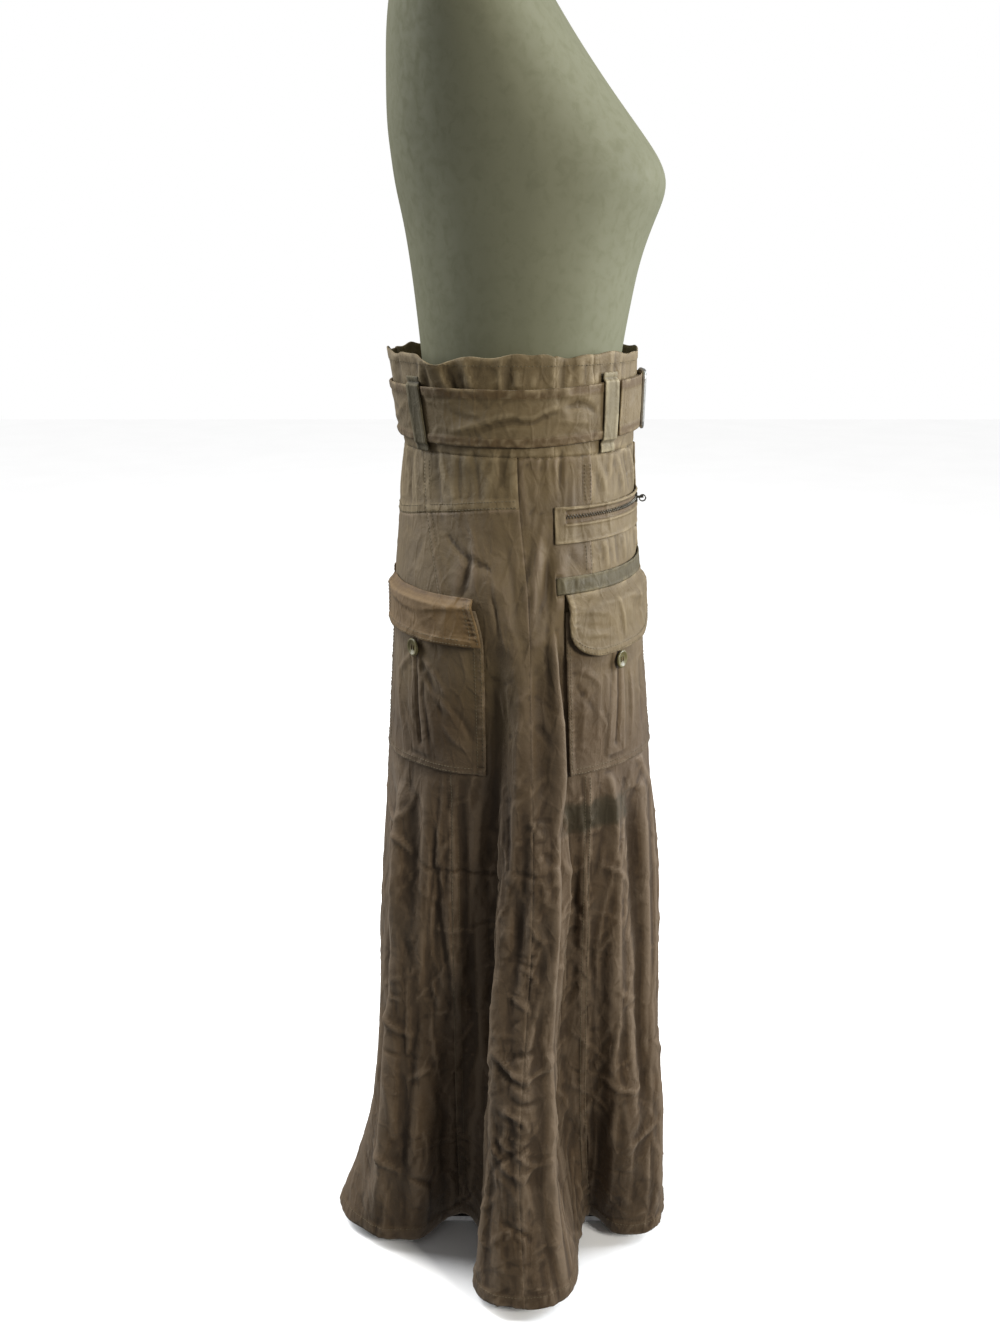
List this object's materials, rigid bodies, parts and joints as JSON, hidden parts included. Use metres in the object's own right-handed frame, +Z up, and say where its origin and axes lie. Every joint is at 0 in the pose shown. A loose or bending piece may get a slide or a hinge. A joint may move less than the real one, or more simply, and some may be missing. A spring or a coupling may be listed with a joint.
{
  "type": "utility skirt on dress form",
  "caption": "Long cargo skirt with a paper-bag waist, buckled fabric belt, flap pockets and deep hem folds, on a limbless dress form with a cross foot.",
  "frame": {"origin": "middle of the cross foot's underside, on the floor below the form's pole", "axes": "+Z up; the skirt's front faces -Y and the wearer's right side is at -X"},
  "size_m": [0.354, 0.3929, 1.49],
  "materials": {
    "khaki_cloth": "washed cotton twill, khaki olive",
    "brown_cloth": "washed cotton twill, brown olive",
    "dark_cloth": "washed cotton twill, dark olive",
    "light_cloth": "washed cotton twill, light olive",
    "golden_cloth": "washed cotton twill, golden brown",
    "button_plastic": "dull olive",
    "buckle_metal": "dull grey metal",
    "zip_metal": "dull dark metal",
    "form_shell": "matt grey-green beige shell",
    "stand_metal": "satin grey paint"
  },
  "bodies": {
    "root": {"back_bag_left": "brown_cloth", "back_bag_right": "brown_cloth", "back_button_left": "button_plastic", "back_button_right": "button_plastic", "back_flap_left": "golden_cloth", "back_flap_right": "golden_cloth", "belt_buckle": "buckle_metal", "belt_loop_1": "dark_cloth", "belt_loop_2": "light_cloth", "belt_loop_3": "light_cloth", "belt_loop_4": "dark_cloth", "belt_prong": "buckle_metal", "belt_strap": "khaki_cloth", "belt_tail": "khaki_cloth", "fly_placket": "khaki_cloth", "form_foot": "stand_metal", "form_pole": "stand_metal", "form_torso": "form_shell", "front_bag_left": "brown_cloth", "front_bag_right": "brown_cloth", "front_button_left": "button_plastic", "front_button_right": "button_plastic", "front_flap_left": "khaki_cloth", "front_flap_right": "khaki_cloth", "front_upper_left": "khaki_cloth", "front_upper_right": "khaki_cloth", "gore_back_left": "brown_cloth", "gore_back_right": "brown_cloth", "gore_front_left": "brown_cloth", "gore_front_right": "brown_cloth", "gore_side_back_left": "brown_cloth", "gore_side_back_right": "brown_cloth", "gore_side_front_left": "brown_cloth", "gore_side_front_right": "brown_cloth", "hip_band_left": "dark_cloth", "hip_band_right": "dark_cloth", "waistband_back": "khaki_cloth", "waistband_front_left": "khaki_cloth", "waistband_front_right": "khaki_cloth", "waistband_side_left": "khaki_cloth", "waistband_side_right": "khaki_cloth", "yoke_back": "khaki_cloth", "yoke_side_left": "khaki_cloth", "yoke_side_right": "khaki_cloth", "zip_patch_left": "khaki_cloth", "zip_patch_right": "khaki_cloth", "zip_slider_left": "zip_metal", "zip_slider_right": "zip_metal"},
    "pull_right": {"zip_pull_right": "zip_metal"},
    "pull_left": {"zip_pull_left": "zip_metal"}
  },
  "joints": [
    {"name": "pull_right_swing", "type": "hinge", "parent": "root", "child": "pull_right", "pos_m": [-0.01958, -0.12501, 0.88238], "axis": [-0.9971, 0.0767, 0], "range_deg": [0, 150]},
    {"name": "pull_left_swing", "type": "hinge", "parent": "root", "child": "pull_left", "pos_m": [0.06879, -0.11247, 0.88258], "axis": [-0.9141, -0.4056, 0], "range_deg": [0, 150]}
  ]
}
